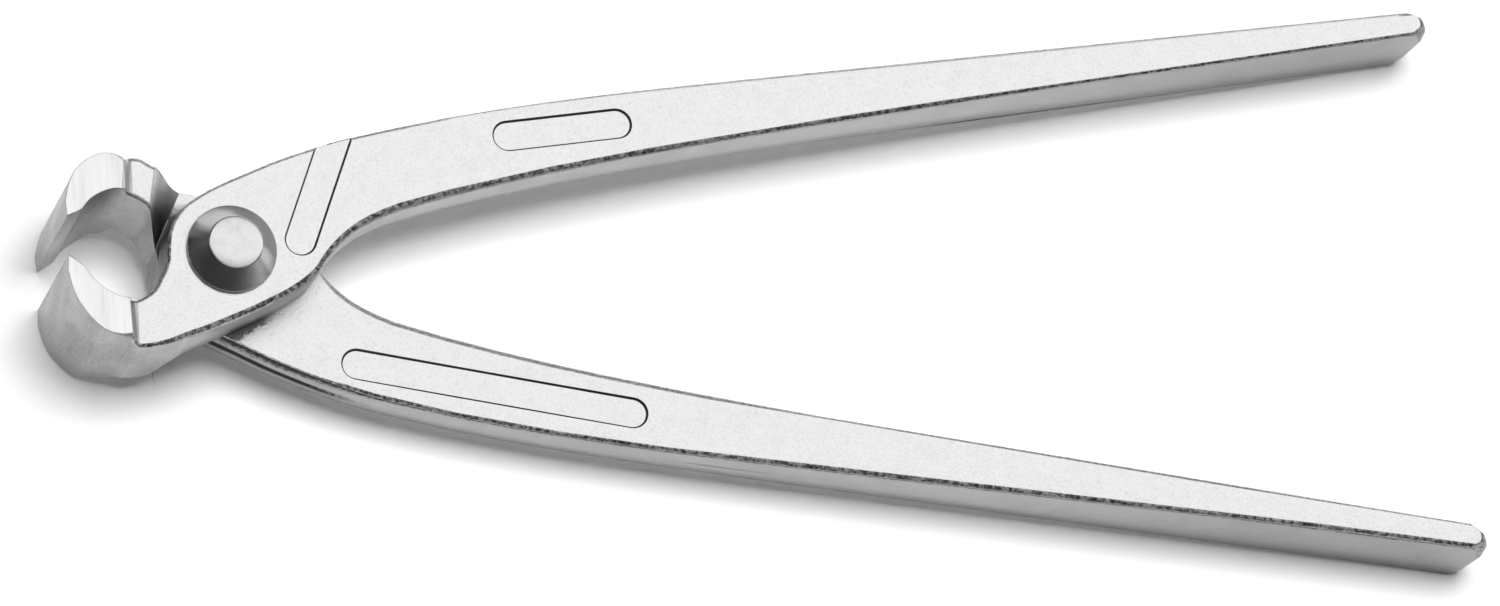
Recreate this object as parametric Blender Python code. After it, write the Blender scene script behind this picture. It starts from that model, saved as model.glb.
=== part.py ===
"""Concreters' nippers: two drop-forged levers that cross at one rivet, with the jaws a little open.

Units are metres and +Z is up. The tool lies along X, jaws at -X and handles at +X, and the
rivet's axis is the Z axis. The origin is the middle of the flat disc on the rivet's rear head.

Both levers are one forging: the rear lever is the front one turned half a turn about X, and
differs by the REAR_ sizes and the recesses alone. A lever is lofted through stations, from the
cutting edge to the handle's tip. A station is a line across the lever from its left side to its
right side, seen from the joint towards the handle's tip.
"""

import math

import bmesh
import bpy
from mathutils import Matrix, Vector

# Driving sizes: joint
PLATE_THICKNESS = 0.0073  # one lever's flat plate at the joint
LAP_GAP = 0.0003  # between the two plates
BOSS_RADIUS = 0.0091  # round end of the plate, towards the jaws
WALL_CLEARANCE = 0.00045  # from the boss to the other lever's neck
PLATE_CHAMFER = 0.00045
PLATE_INNER_CHAMFER = 0.00085  # on the upper edge of the handle's inner side
PLATE_INNER_CHAMFER_X = -0.0060  # full from here on
NECK_UNDER_CHAMFER = 0.0007  # on the neck's outer edge, on the side of the other lever
NECK_EDGE_X = -0.0103  # where the neck's flat face ends and falls to the lap, at its outer side
NECK_EDGE_Y = -0.0125  # the side position where NECK_EDGE_X is measured
NECK_EDGE_LEAN = 0.17  # how far that edge leans towards the jaw on its way to the mouth
REAR_JAW_TRIM = 0.0004  # the rear lever's jaw and neck are this much narrower outside
JAW_TRIM_X = (-0.0230, -0.0195, -0.0110, -0.0080)  # that trim starts, is full, fades, ends
REAR_NECK_TRIM = 0.0006  # the neck is narrower by this much more
NECK_TRIM_END_X = 0.004  # the trim fades out towards here
REAR_HOLLOW_TRIM = 0.0011  # and narrower by this much more beside the front plate
HOLLOW_TRIM_X = (-0.0127, -0.0098, -0.0070)  # that trim starts, is full, starts to fade
WALL_TURN = math.radians(25)  # how far the neck's wall follows the boss below the middle
WALL_SLANT = math.radians(65)  # how steeply the wall then runs out to the edge
LAP_END_X = 0.0210  # the flat under side is cut this far towards the handle
LAP_CUTTER_REACH = 0.04  # beyond the lever on both sides

# Driving sizes: rivet
SHANK_RADIUS = 0.0045
HEAD_RADIUS = 0.00644
HEAD_RIM = 0.00025  # straight rim at the foot of the cone
HEAD_HEIGHT = 0.00325
DISC_RADIUS = 0.00387
SEAT_GAP = 0.0003  # around the shank and under each head

# Driving sizes: jaw
JAW_WIDTH = 0.0245  # length of the cutting edge
SHOULDER_WIDTH = 0.0190  # across the head where its ground faces end
EDGE_REACH = 0.02412  # rivet's axis to the cutting edge
EDGE_OFFSET = 0.00274  # cutting edge to the tool's middle plane, as posed
EDGE_LAND = 0.0003  # what is left flat on the cutting edge
SHOULDER_X = -0.01515
SHOULDER_RUN = 0.0013  # length of the hollow step from the ground head down to the neck
GROUND_CHAMFER = 0.00012
SHOULDER_ROUND = 0.0008  # the outer edge's chamfer grows to this at the shoulder
SHOULDER_ROUND_X = -0.0172  # and starts to grow here

# Driving sizes: handle
HANDLE_REACH = 0.1911  # rivet's axis to the handle's tip
HANDLE_ROOT_X = 0.025
HANDLE_ROOT_Y = 0.01297
HANDLE_ROOT_WIDTH = 0.01277
HANDLE_TIP_WIDTH = 0.00394
HANDLE_TAPER = 1.30  # above 1, the width falls faster near the root
HANDLE_SPREAD = 0.15044  # slope of the handle's middle line
HANDLE_BOW = 0.00333  # extra spread gained near the root
HANDLE_BOW_LENGTH = 0.024
REAR_ROOT_SHIFT = 0.0008  # the rear lever's handle stands this much further out
REAR_TIP_SHIFT = 0.0003
FACE_TIP_HEIGHT = 0.00765  # outer face above the lap plane, at the tip
FACE_SAG = 0.0032
UNDER_ROOT_HEIGHT = 0.0002  # under face above the lap plane, at the root
UNDER_TIP_DEPTH = 0.00685  # under face below the lap plane, at the tip
UNDER_RISE = 0.00233
RAMP_START_X = 0.012  # the under face leaves the lap plane between these two
RAMP_END_X = 0.019
OUTER_ROOT_CHAMFER = 0.00045
OUTER_TIP_CHAMFER = 0.0006
INNER_ROOT_CHAMFER = 0.00095
INNER_TIP_CHAMFER = 0.0003
CHAMFER_STEEPNESS = 0.8  # a chamfer's height as a share of its width
WALL_DRAFT = 0.00015  # how far the forging's parting line stands out
TIP_ROUND = 0.0040  # length of the tip's rounding, seen from above
TIP_RUN = 0.0050  # length of the tip's rounding, seen from the side
TIP_FALL = 0.0056  # and its height at each face

# Driving sizes: bare recesses
RECESS_DEPTH = 0.00035
RECESS_CUTTER_HEIGHT = 0.002  # above the face
SLOT_WIDTH = 0.00445
SLOT_START = (0.01015, 0.00175)  # middle of its round end
SLOT_END = (0.0162, 0.0177)  # beyond the plate's edge, so the slot is open there
SHORT_PANEL_WIDTH = 0.0044
SHORT_PANEL_START = (0.0417, 0.0184)
SHORT_PANEL_END = (0.0582, 0.0208)
LONG_PANEL_WIDTH = 0.0044
LONG_PANEL_START = (0.0191, 0.0142)
LONG_PANEL_END = (0.0591, 0.02135)

# How finely round shapes are faceted
JAW_STEPS = 3
SHOULDER_STEPS = 4
PLATE_STEPS = 2
HANDLE_STATIONS = 22
TIP_STATIONS = 9
ROUND_SEGMENTS = 64
WALL_LEVELS = 6

# The jaw in plan, from the bevel's foot to the shoulder: left side, right side
JAW_ROWS = (
    ((-0.0218, -0.0042), (-0.0243, -0.0051)),
    ((-0.02055, -0.0058), (-0.02355, -0.0081)),
    ((-0.0188, -0.00705), (-0.0221, -0.0106)),
    ((-0.0169, -0.00786), (-0.0193, -0.0131)),
    ((SHOULDER_X, -0.0080), (SHOULDER_X, -0.0140)),
)

# The neck in plan, from the shoulder's foot to the boss
NECK_ROWS = (
    ((SHOULDER_X + SHOULDER_RUN, -0.00775), (SHOULDER_X + SHOULDER_RUN, -0.0146)),
    ((-0.0126, -0.0071), (-0.0122, -0.01455)),
    ((-0.0113, -0.0061), (-0.0098, -0.0141)),
    ((-0.0103, -0.0044), (-0.0080, -0.0135)),
    ((-0.0093, -0.0022), (-0.0064, -0.0129)),
)

# The boss follows an arc: angle on the left side, point on the right side
BOSS_ROWS = (
    (180, (-0.0046, -0.0123)),
    (165, (-0.0028, -0.0116)),
    (152, (-0.0008, -0.01075)),
    (140, (0.0012, -0.00985)),
    (130, (0.0032, -0.00895)),
)

# The plate in plan, from the boss to the handle's root
PLATE_ROWS = (
    ((-0.0028, 0.00897), (0.0058, -0.00765)),
    ((0.0003, 0.01053), (0.0084, -0.00625)),
    ((0.0034, 0.01199), (0.0108, -0.00465)),
    ((0.0064, 0.01338), (0.01275, -0.0029)),
    ((0.0095, 0.01462), (0.01405, -0.00105)),
    ((0.0122, 0.01561), (0.0155, 0.0007)),
    ((0.0149, 0.01653), (0.0173, 0.0024)),
    ((0.0179, 0.01747), (0.0195, 0.0040)),
    ((0.0213, 0.01842), (0.0222, 0.0054)),
)

LAP_HALF = LAP_GAP / 2
PLATE_FACE = LAP_HALF + PLATE_THICKNESS
JOINT_HEIGHT = PLATE_FACE + SEAT_GAP + HEAD_HEIGHT


def smooth_step(low, high, value):
    """Rises from 0 to 1 between low and high, level at both ends."""
    part = min(1.0, max(0.0, (value - low) / (high - low)))
    return part * part * (3 - 2 * part)


def blend(start, end, part):
    return start + (end - start) * part


def handle_middle(x):
    """The handle's middle line: straight, with a bow near the root."""
    along = x - HANDLE_ROOT_X
    bow = HANDLE_BOW * (1 - math.exp(-along / HANDLE_BOW_LENGTH))
    return HANDLE_ROOT_Y + HANDLE_SPREAD * along + bow


def handle_width(x):
    left = (HANDLE_REACH - x) / (HANDLE_REACH - HANDLE_ROOT_X)
    return HANDLE_TIP_WIDTH + (HANDLE_ROOT_WIDTH - HANDLE_TIP_WIDTH) * max(0.0, left) ** HANDLE_TAPER


def head_height(x):
    """The ground face of the head, which widens from the shoulder to the cutting edge."""
    part = (SHOULDER_X - x) / (SHOULDER_X + EDGE_REACH)
    return blend(SHOULDER_WIDTH, JAW_WIDTH, part) / 2


def face_height(x):
    """The outer face of the plate and the handle."""
    part = max(0.0, x / HANDLE_REACH)
    level = blend(PLATE_FACE, FACE_TIP_HEIGHT, smooth_step(0, 1, part))
    return level - FACE_SAG * part * (1 - part)


def under_height(x):
    """The under face: below the lap plane at the plate, then clear of it along the handle."""
    part = max(0.0, x / HANDLE_REACH)
    level = blend(UNDER_ROOT_HEIGHT, -UNDER_TIP_DEPTH, smooth_step(0, 1, part))
    level += UNDER_RISE * part * (1 - part)
    return blend(-LAP_HALF, level, smooth_step(RAMP_START_X, RAMP_END_X, x))


def round_off(x, run):
    """How far a rounded end that starts this much before the tip has closed in: 0 to 1."""
    part = min(1.0, max(0.0, (x - HANDLE_REACH + run) / run))
    return 1 - math.sqrt(1 - part * part)


class Station:
    """One line across the lever, with the heights and the edge chamfers at both of its ends.

    The chamfers are widths: upper left, upper right, under right, under left.
    """

    def __init__(self, left, right, top, bottom, chamfers, draft):
        self.left = Vector(left)
        self.right = Vector(right)
        self.top = top
        self.bottom = bottom
        self.chamfers = chamfers
        self.draft = draft


def smooth_rows(rows, steps):
    """Passes a smooth curve through both sides of the rows, and adds rows between them."""
    flat = [(*left, *right) for left, right in rows]
    padded = [
        [2 * a - b for a, b in zip(flat[0], flat[1])],
        *flat,
        [2 * a - b for a, b in zip(flat[-1], flat[-2])],
    ]
    result = []
    for index in range(1, len(padded) - 2):
        before, start, end, after = padded[index - 1 : index + 3]
        for step in range(steps):
            t = step / steps
            row = [
                0.5 * (2 * s + (e - b) * t + (2 * b - 5 * s + 4 * e - a) * t**2 + (3 * s - b - 3 * e + a) * t**3)
                for b, s, e, a in zip(before, start, end, after)
            ]
            result.append(((row[0], row[1]), (row[2], row[3])))
    result.append(rows[-1])
    return result


def jaw_stations():
    """The head: a ground bevel at the edge, then the curved claw up to the shoulder."""
    edge = ((-EDGE_REACH, -EDGE_OFFSET), (-EDGE_REACH, -EDGE_OFFSET - EDGE_LAND))
    stations = []
    for left, right in [edge, *smooth_rows(JAW_ROWS, JAW_STEPS)]:
        near = smooth_step(SHOULDER_ROUND_X, SHOULDER_X, right[0])
        outer = blend(GROUND_CHAMFER, SHOULDER_ROUND, near)
        chamfers = (GROUND_CHAMFER, outer, outer, GROUND_CHAMFER)
        stations.append(Station(left, right, head_height, lambda x: -head_height(x), chamfers, 0.0))
    return stations


def shoulder_stations():
    """The hollow step from the ground head down to the neck's flat faces."""
    start = JAW_ROWS[-1]
    end = NECK_ROWS[0]
    height = SHOULDER_WIDTH / 2 - PLATE_FACE
    stations = []
    for index in range(1, SHOULDER_STEPS):
        angle = math.radians(90) * index / SHOULDER_STEPS
        part = 1 - math.cos(angle)
        rise = height * (1 - math.sin(angle))
        left, right = ([blend(a, b, part) for a, b in zip(start[side], end[side])] for side in (0, 1))
        upper = blend(SHOULDER_ROUND, PLATE_CHAMFER, part)
        under = blend(SHOULDER_ROUND, NECK_UNDER_CHAMFER, part)
        mouth = blend(GROUND_CHAMFER, PLATE_CHAMFER, part)
        stations.append(
            Station(
                left,
                right,
                lambda x, rise=rise: PLATE_FACE + rise,
                lambda x, rise=rise: -PLATE_FACE - rise,
                (mouth, upper, under, mouth),
                0.0,
            )
        )
    return stations


def boss_point(degrees):
    angle = math.radians(degrees)
    return BOSS_RADIUS * math.cos(angle), BOSS_RADIUS * math.sin(angle)


def plate_stations():
    """The neck, at the joint's full thickness, and the plate, whose under side is cut later."""
    boss = [(boss_point(degrees), right) for degrees, right in BOSS_ROWS]
    root_left = (HANDLE_ROOT_X, handle_middle(HANDLE_ROOT_X) + HANDLE_ROOT_WIDTH / 2)
    root_right = (HANDLE_ROOT_X, handle_middle(HANDLE_ROOT_X) - HANDLE_ROOT_WIDTH / 2)
    rows = smooth_rows([*NECK_ROWS, *boss, *PLATE_ROWS, (root_left, root_right)], PLATE_STEPS)
    full = PLATE_STEPS * (len(NECK_ROWS) + len(boss))
    stations = []
    for index, (left, right) in enumerate(rows[:-1]):
        middle = (left[0] + right[0]) / 2
        wide = smooth_step(0, HANDLE_ROOT_X, middle)
        outer = blend(PLATE_CHAMFER, OUTER_ROOT_CHAMFER, wide)
        past_neck = smooth_step(SHOULDER_X, PLATE_INNER_CHAMFER_X, middle)
        inner = blend(PLATE_CHAMFER, PLATE_INNER_CHAMFER, past_neck)
        inner = blend(inner, INNER_ROOT_CHAMFER, wide)
        under = blend(NECK_UNDER_CHAMFER, inner, smooth_step(NECK_EDGE_X, 0, middle))
        draft = blend(0.0, WALL_DRAFT, wide)
        bottom = (lambda x: -PLATE_FACE) if index < full else under_height
        chamfers = (outer, inner, under, outer)
        stations.append(Station(left, right, face_height, bottom, chamfers, draft))
    return stations


def handle_stations():
    """The tapering handle, with a rounded tip."""
    straight_end = HANDLE_REACH - TIP_RUN
    stations = []
    for index in range(HANDLE_STATIONS):
        part = index / (HANDLE_STATIONS - 1)
        x = blend(HANDLE_ROOT_X, straight_end, part)
        half = handle_width(x) / 2
        outer = blend(OUTER_ROOT_CHAMFER, OUTER_TIP_CHAMFER, part)
        inner = blend(INNER_ROOT_CHAMFER, INNER_TIP_CHAMFER, part)
        middle = handle_middle(x)
        chamfers = (outer, inner, inner, outer)
        stations.append(
            Station((x, middle + half), (x, middle - half), face_height, under_height, chamfers, WALL_DRAFT)
        )
    for index in range(1, TIP_STATIONS + 1):
        angle = math.radians(80) * index / TIP_STATIONS
        x = straight_end + TIP_RUN * math.sin(angle)
        narrow = 1 - round_off(x, TIP_ROUND)
        fall = TIP_FALL * round_off(x, TIP_RUN)
        half = handle_width(x) / 2 * narrow
        middle = handle_middle(x)
        outer = OUTER_TIP_CHAMFER * narrow
        inner = INNER_TIP_CHAMFER * narrow
        stations.append(
            Station(
                (x, middle + half),
                (x, middle - half),
                lambda x, fall=fall: face_height(x) - fall,
                lambda x, fall=fall: under_height(x) + fall,
                (outer, inner, inner, outer),
                WALL_DRAFT * narrow,
            )
        )
    return stations


def move_handle(stations, root_shift, tip_shift):
    """Moves the handle outwards a little, and leaves the joint and the jaw where they are."""
    for station in stations:
        for side in (station.left, station.right):
            shift = blend(root_shift, tip_shift, side.x / HANDLE_REACH)
            side.y += shift * smooth_step(0, HANDLE_ROOT_X, side.x)


def trim_outer_side(stations, jaw_trim, neck_trim, hollow_trim):
    """Narrows the jaw and the neck on their outer side."""
    jaw_start, jaw_full, jaw_fade, jaw_end = JAW_TRIM_X
    start, full, fade = HOLLOW_TRIM_X
    for station in stations:
        x = station.right.x
        jaw = smooth_step(jaw_start, jaw_full, x) * (1 - smooth_step(jaw_fade, jaw_end, x))
        neck = smooth_step(SHOULDER_ROUND_X, SHOULDER_X, x)
        neck *= 1 - smooth_step(-NECK_TRIM_END_X, NECK_TRIM_END_X, x)
        hollow = smooth_step(start, full, x) * (1 - smooth_step(fade, 0.0, x))
        station.right.y += jaw_trim * jaw + neck_trim * neck + hollow_trim * hollow


def side_normals(points, turn):
    """Unit vectors square to a side's curve, pointing into the lever."""
    normals = []
    for index in range(len(points)):
        ahead = points[min(index + 1, len(points) - 1)]
        behind = points[max(index - 1, 0)]
        along = (ahead - behind).normalized()
        normals.append(Vector((along.y, -along.x)) * turn)
    return normals


def ring_points(station, left_normal, right_normal):
    """One closed section: parting line, wall, chamfer and face on each side, top and bottom."""
    limit = 0.3 * (station.left - station.right).length
    widths = [min(width, limit) for width in station.chamfers]
    inwards = ((0.0, 1.0), (0.35, 0.35), (1.0, 0.0))
    outwards = inwards[::-1]
    points = []

    def add_corner(side, normal, width, height, sign, profile):
        for inset, drop in profile:
            place = side + normal * (station.draft + width * inset)
            fall = CHAMFER_STEEPNESS * width * drop
            points.append((place.x, place.y, height(side.x) - sign * fall))

    def add_ridge(side):
        points.append((side.x, side.y, (station.top(side.x) + station.bottom(side.x)) / 2))

    add_ridge(station.left)
    add_corner(station.left, left_normal, widths[0], station.top, 1, inwards)
    add_corner(station.right, right_normal, widths[1], station.top, 1, outwards)
    add_ridge(station.right)
    add_corner(station.right, right_normal, widths[2], station.bottom, -1, inwards)
    add_corner(station.left, left_normal, widths[3], station.bottom, -1, outwards)
    return points


def loft(stations):
    """Skins the stations with quads and closes both ends."""
    mesh = bmesh.new()
    left_normals = side_normals([station.left for station in stations], 1)
    right_normals = side_normals([station.right for station in stations], -1)
    rings = []
    for station, left_normal, right_normal in zip(stations, left_normals, right_normals):
        rings.append([mesh.verts.new(p) for p in ring_points(station, left_normal, right_normal)])
    for first, second in zip(rings, rings[1:]):
        count = len(first)
        for index in range(count):
            after = (index + 1) % count
            mesh.faces.new((first[index], first[after], second[after], second[index]))
    mesh.faces.new(reversed(rings[0]))
    mesh.faces.new(rings[-1])
    bmesh.ops.recalc_face_normals(mesh, faces=mesh.faces)
    bmesh.ops.triangulate(mesh, faces=mesh.faces)
    return mesh


def stack(outlines, heights):
    """A solid through outlines of equal length, one above the other."""
    mesh = bmesh.new()
    rings = []
    for outline, height in zip(outlines, heights):
        rings.append([mesh.verts.new((x, y, height)) for x, y in outline])
    for first, second in zip(rings, rings[1:]):
        count = len(first)
        for index in range(count):
            after = (index + 1) % count
            mesh.faces.new((first[index], first[after], second[after], second[index]))
    mesh.faces.new(reversed(rings[0]))
    mesh.faces.new(rings[-1])
    bmesh.ops.recalc_face_normals(mesh, faces=mesh.faces)
    return mesh


def neck_edge(y):
    """Where the neck's flat face ends."""
    return NECK_EDGE_X - NECK_EDGE_LEAN * (min(y, 0.0) - NECK_EDGE_Y)


def lap_cutter_mesh():
    """Cuts away the under half of the joint, up to a hollow wall that clears the other boss."""
    radius = BOSS_RADIUS + WALL_CLEARANCE
    foot = [(-radius, LAP_CUTTER_REACH), (-radius, 0.0)]
    turns = 10
    for step in range(1, turns + 1):
        angle = math.pi + WALL_TURN * step / turns
        foot.append((radius * math.cos(angle), radius * math.sin(angle)))
    run = (LAP_CUTTER_REACH + foot[-1][1]) / math.sin(WALL_SLANT)
    for part in (0.08, 0.16, 0.26, 1.0):
        start = foot[turns + 1]
        foot.append((start[0] + run * part * math.cos(WALL_SLANT), start[1] - run * part * math.sin(WALL_SLANT)))
    outlines = []
    heights = []
    depth = LAP_HALF + PLATE_FACE
    for level in range(WALL_LEVELS + 2):
        part = level / WALL_LEVELS
        away = min(1.0, part) ** 0.7
        line = [(blend(x, min(x, neck_edge(y)), away), y) for x, y in foot]
        outlines.append([*line, (LAP_END_X, -LAP_CUTTER_REACH), (LAP_END_X, LAP_CUTTER_REACH)])
        heights.append(LAP_HALF - depth * part)
    return stack(outlines, heights)


def stadium(width, length):
    """A round-ended outline along X that starts round the origin."""
    half = width / 2
    points = []
    segments = ROUND_SEGMENTS // 4
    for step in range(segments + 1):
        angle = math.pi / 2 + math.pi * step / segments
        points.append((half * math.cos(angle), half * math.sin(angle)))
    for step in range(segments + 1):
        angle = -math.pi / 2 + math.pi * step / segments
        points.append((length + half * math.cos(angle), half * math.sin(angle)))
    return points


def recess_cutter(name, start, end, width, height, outward):
    """A round-ended cutter that follows a lever's face from start to end."""
    first = Vector((*start, height(start[0])))
    last = Vector((*end, height(end[0])))
    along = last - first
    levels = (-RECESS_DEPTH, RECESS_CUTTER_HEIGHT)
    if outward < 0:
        levels = (-RECESS_CUTTER_HEIGHT, RECESS_DEPTH)
    outline = stadium(width, along.length)
    mesh = stack([outline, outline], levels)
    forward = along.normalized()
    side = Vector((0, 0, 1)).cross(forward).normalized()
    up = forward.cross(side)
    turn = Matrix((forward, side, up)).transposed().to_4x4()
    mesh.transform(Matrix.Translation(first) @ turn)
    return add_cutter(name, mesh)


def add_object(name, mesh, material):
    data = bpy.data.meshes.new(name)
    mesh.to_mesh(data)
    mesh.free()
    data.shade_smooth()
    data.set_sharp_from_angle(angle=math.radians(32))
    thing = bpy.data.objects.new(name, data)
    bpy.context.scene.collection.objects.link(thing)
    if material:
        data.materials.append(material)
    return thing


def add_cutter(name, mesh):
    cutter = add_object(name, mesh, None)
    cutter.hide_render = True
    cutter.display_type = "WIRE"
    return cutter


def round_bar_mesh(radius, half_length):
    """A plain round bar on the Z axis."""
    mesh = bmesh.new()
    bmesh.ops.create_cone(
        mesh,
        cap_ends=True,
        segments=ROUND_SEGMENTS,
        radius1=radius,
        radius2=radius,
        depth=2 * half_length,
    )
    return mesh


def cut(thing, cutter):
    cutter.parent = thing
    step = thing.modifiers.new(cutter.name, "BOOLEAN")
    step.operation = "DIFFERENCE"
    step.solver = "EXACT"
    step.object = cutter


def steel(name, shade, roughness):
    material = bpy.data.materials.new(name)
    material.use_nodes = True
    surface = material.node_tree.nodes["Principled BSDF"]
    surface.inputs["Base Color"].default_value = (shade, shade, shade * 1.01, 1)
    surface.inputs["Metallic"].default_value = 1.0
    surface.inputs["Roughness"].default_value = roughness
    return material


def make_lever(name, material, joint, shape_changes):
    """One forging, with the joint's under half cut away and the rivet's hole through the plate."""
    stations = [*jaw_stations(), *shoulder_stations(), *plate_stations(), *handle_stations()]
    for change, amounts in shape_changes:
        change(stations, *amounts)
    lever = add_object(name, loft(stations), material)
    lever.parent = joint
    cut(lever, add_cutter(name + "_lap_cutter", lap_cutter_mesh()))
    hole = round_bar_mesh(SHANK_RADIUS + SEAT_GAP, 2 * PLATE_FACE)
    cut(lever, add_cutter(name + "_hole_cutter", hole))
    return lever


def make_rivet(material, joint):
    """Shank and two cone heads, turned from one half profile."""
    foot = PLATE_FACE + SEAT_GAP
    upper = (
        (SHANK_RADIUS, foot),
        (HEAD_RADIUS, foot),
        (HEAD_RADIUS, foot + HEAD_RIM),
        (DISC_RADIUS, foot + HEAD_HEIGHT),
    )
    profile = [(r, -z) for r, z in reversed(upper)] + list(upper)
    mesh = bmesh.new()
    rings = []
    for radius, height in profile:
        ring = []
        for step in range(ROUND_SEGMENTS):
            angle = 2 * math.pi * step / ROUND_SEGMENTS
            ring.append(mesh.verts.new((radius * math.cos(angle), radius * math.sin(angle), height)))
        rings.append(ring)
    for first, second in zip(rings, rings[1:]):
        for index in range(ROUND_SEGMENTS):
            after = (index + 1) % ROUND_SEGMENTS
            mesh.faces.new((first[index], first[after], second[after], second[index]))
    mesh.faces.new(reversed(rings[0]))
    mesh.faces.new(rings[-1])
    bmesh.ops.recalc_face_normals(mesh, faces=mesh.faces)
    rivet = add_object("rivet", mesh, material)
    rivet.parent = joint
    return rivet


def main():
    for thing in list(bpy.data.objects):
        bpy.data.objects.remove(thing)
    forged = steel("forged_chrome", 0.78, 0.28)
    turned = steel("turned_chrome", 0.72, 0.18)

    joint = bpy.data.objects.new("joint_axis", None)
    joint.location = (0, 0, JOINT_HEIGHT)
    bpy.context.scene.collection.objects.link(joint)

    front = make_lever("front_lever", forged, joint, ())
    slot = recess_cutter("slot", SLOT_START, SLOT_END, SLOT_WIDTH, face_height, 1)
    cut(front, slot)
    short = recess_cutter(
        "short_panel", SHORT_PANEL_START, SHORT_PANEL_END, SHORT_PANEL_WIDTH, face_height, 1
    )
    cut(front, short)

    own_shape = (
        (move_handle, (REAR_ROOT_SHIFT, REAR_TIP_SHIFT)),
        (trim_outer_side, (REAR_JAW_TRIM, REAR_NECK_TRIM, REAR_HOLLOW_TRIM)),
    )
    rear = make_lever("rear_lever", forged, joint, own_shape)
    rear.rotation_euler = (math.pi, 0, 0)
    long_panel = recess_cutter(
        "long_panel", LONG_PANEL_START, LONG_PANEL_END, LONG_PANEL_WIDTH, under_height, -1
    )
    cut(rear, long_panel)

    make_rivet(turned, joint)


main()
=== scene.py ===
"""Looks of the concreters' nippers: plated forged levers, a turned rivet, a studio and a camera.

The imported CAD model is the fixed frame. Each lever is shown by a dressed copy of its solid, with
rounded edges and its own finish on each kind of surface, and the rivet is turned anew. Units are
metres and +Z is up; the tool lies along X, with its jaws at -X.
"""

from __future__ import annotations

import logging
import math
from dataclasses import dataclass, field
from enum import Enum

import bmesh
import bpy
from bmesh.types import BMEdge, BMesh, BMFace, BMVert
from mathutils import Matrix, Vector
from mathutils.bvhtree import BVHTree
from mathutils.geometry import intersect_point_line

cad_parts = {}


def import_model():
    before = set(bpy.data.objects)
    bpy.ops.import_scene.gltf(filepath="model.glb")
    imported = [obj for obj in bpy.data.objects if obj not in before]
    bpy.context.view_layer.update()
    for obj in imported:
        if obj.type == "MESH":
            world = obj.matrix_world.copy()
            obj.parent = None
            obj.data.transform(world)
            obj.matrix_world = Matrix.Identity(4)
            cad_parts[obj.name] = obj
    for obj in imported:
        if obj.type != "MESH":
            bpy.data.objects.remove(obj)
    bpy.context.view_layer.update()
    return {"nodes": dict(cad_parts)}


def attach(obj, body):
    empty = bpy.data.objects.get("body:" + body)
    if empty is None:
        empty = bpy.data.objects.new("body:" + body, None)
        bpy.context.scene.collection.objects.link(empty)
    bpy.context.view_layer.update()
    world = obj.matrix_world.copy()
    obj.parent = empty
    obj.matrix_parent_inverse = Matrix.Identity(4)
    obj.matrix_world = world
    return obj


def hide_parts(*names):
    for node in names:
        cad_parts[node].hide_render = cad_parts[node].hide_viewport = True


LOG = logging.getLogger("nippers")

# The height of the plane in which the levers' plates meet, the X of the jaws' shoulders, and the
# angle between X and each handle at its tip.
JOINT_HEIGHT = 0.0110
SHOULDER_X = -0.01515
HANDLE_ANGLE = math.radians(8.3)

# Attributes stored on the levers' meshes, and the least upright share of a level face's normal.
DEPTH = "depth_below_face"
SHARE = "share_of_height"
LEVEL = 0.97

Number = int | float
Pair = tuple[float, float]
Triple = tuple[float, float, float]


class Shade:
    """A number or a socket in a node tree, which takes part in Python expressions."""

    def __init__(self, bench: Bench, value: Number | bpy.types.NodeSocket) -> None:
        """Wraps a plain number or an output socket of the bench's tree."""
        self.bench = bench
        self.value = value

    def _math(self, operation: str, *others: Shade | Number, clamp: bool = False) -> Shade:
        """Adds a Math node over this value and others, and may hold its result between 0 and 1."""
        settings = {"operation": operation, "use_clamp": clamp}
        return self.bench.add("ShaderNodeMath", settings, dict(enumerate((self, *others))))

    def __add__(self, other: Shade | Number) -> Shade:
        """Sum."""
        return self._math("ADD", other)

    def __radd__(self, other: Number) -> Shade:
        """Sum, number first."""
        return Shade(self.bench, other)._math("ADD", self)

    def __sub__(self, other: Shade | Number) -> Shade:
        """Difference."""
        return self._math("SUBTRACT", other)

    def __rsub__(self, other: Number) -> Shade:
        """Difference, number first."""
        return Shade(self.bench, other)._math("SUBTRACT", self)

    def __mul__(self, other: Shade | Number) -> Shade:
        """Product."""
        return self._math("MULTIPLY", other)

    def __pow__(self, other: Shade | Number) -> Shade:
        """Power."""
        return self._math("POWER", other)

    def size(self) -> Shade:
        """The value without its sign."""
        return self._math("ABSOLUTE")

    def sine(self) -> Shade:
        """The value's sine, in radians."""
        return self._math("SINE")

    def held(self) -> Shade:
        """The value held between 0 and 1."""
        return self._math("ADD", 0.0, clamp=True)

    def rise(self, start: Shade | Number, end: Shade | Number) -> Shade:
        """Rises smoothly from 0 at the start to 1 at the end, which may lie below the start."""
        inputs = {"Value": self, "From Min": start, "From Max": end}
        return self.bench.add("ShaderNodeMapRange", {"interpolation_type": "SMOOTHSTEP"}, inputs)


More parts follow.
